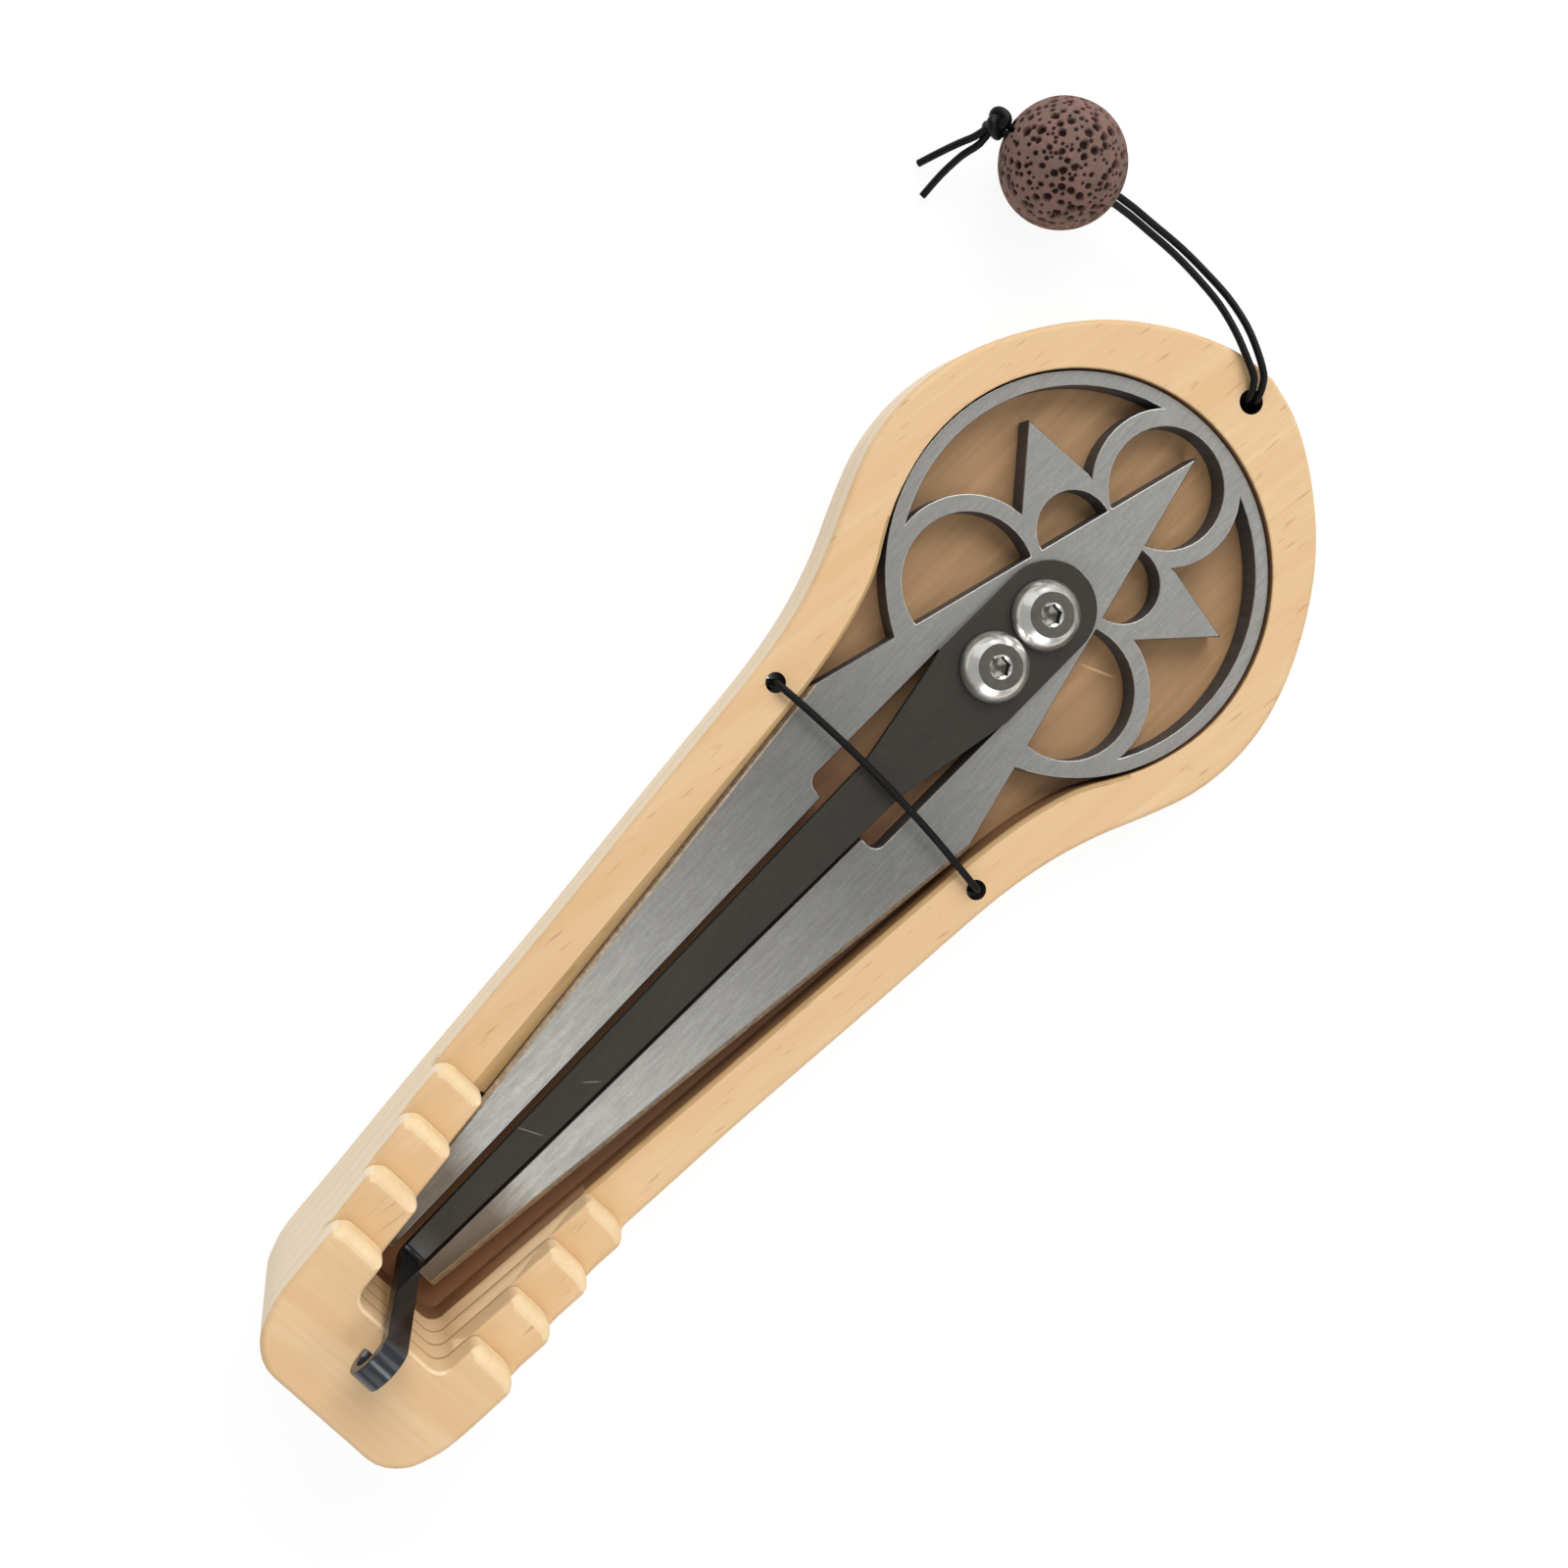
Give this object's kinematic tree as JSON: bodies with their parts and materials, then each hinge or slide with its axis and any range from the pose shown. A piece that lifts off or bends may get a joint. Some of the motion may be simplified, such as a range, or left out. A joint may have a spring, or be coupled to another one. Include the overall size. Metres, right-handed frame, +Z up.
{
  "type": "jaw harp",
  "caption": "Flat steel jaw harp with a screwed-on reed and bent trigger, held by an elastic in the pocket of a stepped laminated wooden case with a beaded cord lanyard.",
  "frame": {"origin": "middle of the case's outline on its flat underside", "axes": "+Y along the case towards the ring end, +X to the right seen from above with the ring end up, +Z up out of the case; the harp lies half a degree clockwise of Y"},
  "size_m": [0.0522, 0.111, 0.023],
  "materials": {
    "frame_steel": "brushed",
    "reed_steel": "dark oxide, satin",
    "screw_steel": "polished",
    "case_wood": "oiled",
    "black_elastic": "satin",
    "black_cord": "waxed",
    "lava_stone": "porous stone, matte"
  },
  "bodies": {
    "case": {"case_base": "case_wood", "case_pocket": "case_wood", "case_step_1": "case_wood", "case_step_2": "case_wood", "case_step_3": "case_wood", "case_step_4": "case_wood", "elastic": "black_elastic", "lanyard_strand_left": "black_cord", "lanyard_strand_right": "black_cord", "lanyard_stop_knot": "black_cord", "lanyard_knot": "black_cord", "lanyard_tail_left": "black_cord", "lanyard_tail_right": "black_cord"},
    "harp": {"harp_frame": "frame_steel", "screw_upper": "screw_steel", "screw_lower": "screw_steel"},
    "reed_strip": {"reed": "reed_steel"},
    "bead_body": {"bead": "lava_stone"}
  },
  "joints": [
    {"name": "harp_lift", "type": "slide", "parent": "case", "child": "harp", "axis": [0, 0, 1], "range_m": [0, 0.03], "deforming": ["elastic"]},
    {"name": "reed_pluck", "type": "hinge", "parent": "harp", "child": "reed_strip", "pos_m": [-0.00012, 0.0181, 0.0055], "axis": [-1, 0.0096, 0], "range_deg": [-1.2, 6], "stiffness_Nm_per_rad": 0.3, "deforming": ["reed"]},
    {"name": "bead_turn", "type": "hinge", "parent": "case", "child": "bead_body", "pos_m": [-0.02422, 0.05229, 0.00515], "axis": [-0.9563, -0.2924, 0], "continuous": true}
  ]
}
